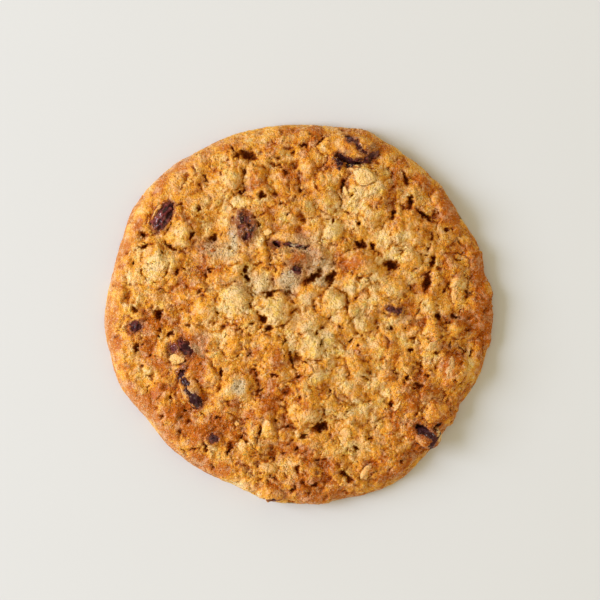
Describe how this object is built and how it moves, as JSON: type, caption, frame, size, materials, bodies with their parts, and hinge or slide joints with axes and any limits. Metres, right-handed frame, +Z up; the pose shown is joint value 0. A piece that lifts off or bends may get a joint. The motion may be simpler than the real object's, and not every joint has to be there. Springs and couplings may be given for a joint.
{
  "type": "oatmeal raisin cookie",
  "caption": "Round baked oat cookie with a craggy domed top, a smooth rounded rim, a flat underside and raisins set in its crust.",
  "frame": {"origin": "on the flat underside, below the middle of the cookie's box", "axes": "+Z up out of the top crust, +X and +Y across the disc, +Y towards the rim with the large raisin under a dough lump"},
  "size_m": [0.0912, 0.0896, 0.0121],
  "materials": {
    "baked_dough": "matt baked oat dough, golden to brown, faintly glossy where sugar and fat came to the crust",
    "raisin_skin": "dark purple-brown wrinkled fruit skin with a satin gloss"
  },
  "bodies": {
    "root": {"dough": "baked_dough", "raisin_north_west": "raisin_skin", "raisin_north_middle": "raisin_skin", "raisin_upper_centre": "raisin_skin", "raisin_centre": "raisin_skin", "raisin_north_rim": "raisin_skin", "raisin_west_upper": "raisin_skin", "raisin_west_lower": "raisin_skin", "raisin_west_rim": "raisin_skin", "raisin_east": "raisin_skin", "raisin_east_rim": "raisin_skin", "raisin_south_west": "raisin_skin", "raisin_south_middle": "raisin_skin", "raisin_south_rim": "raisin_skin"}
  },
  "joints": []
}
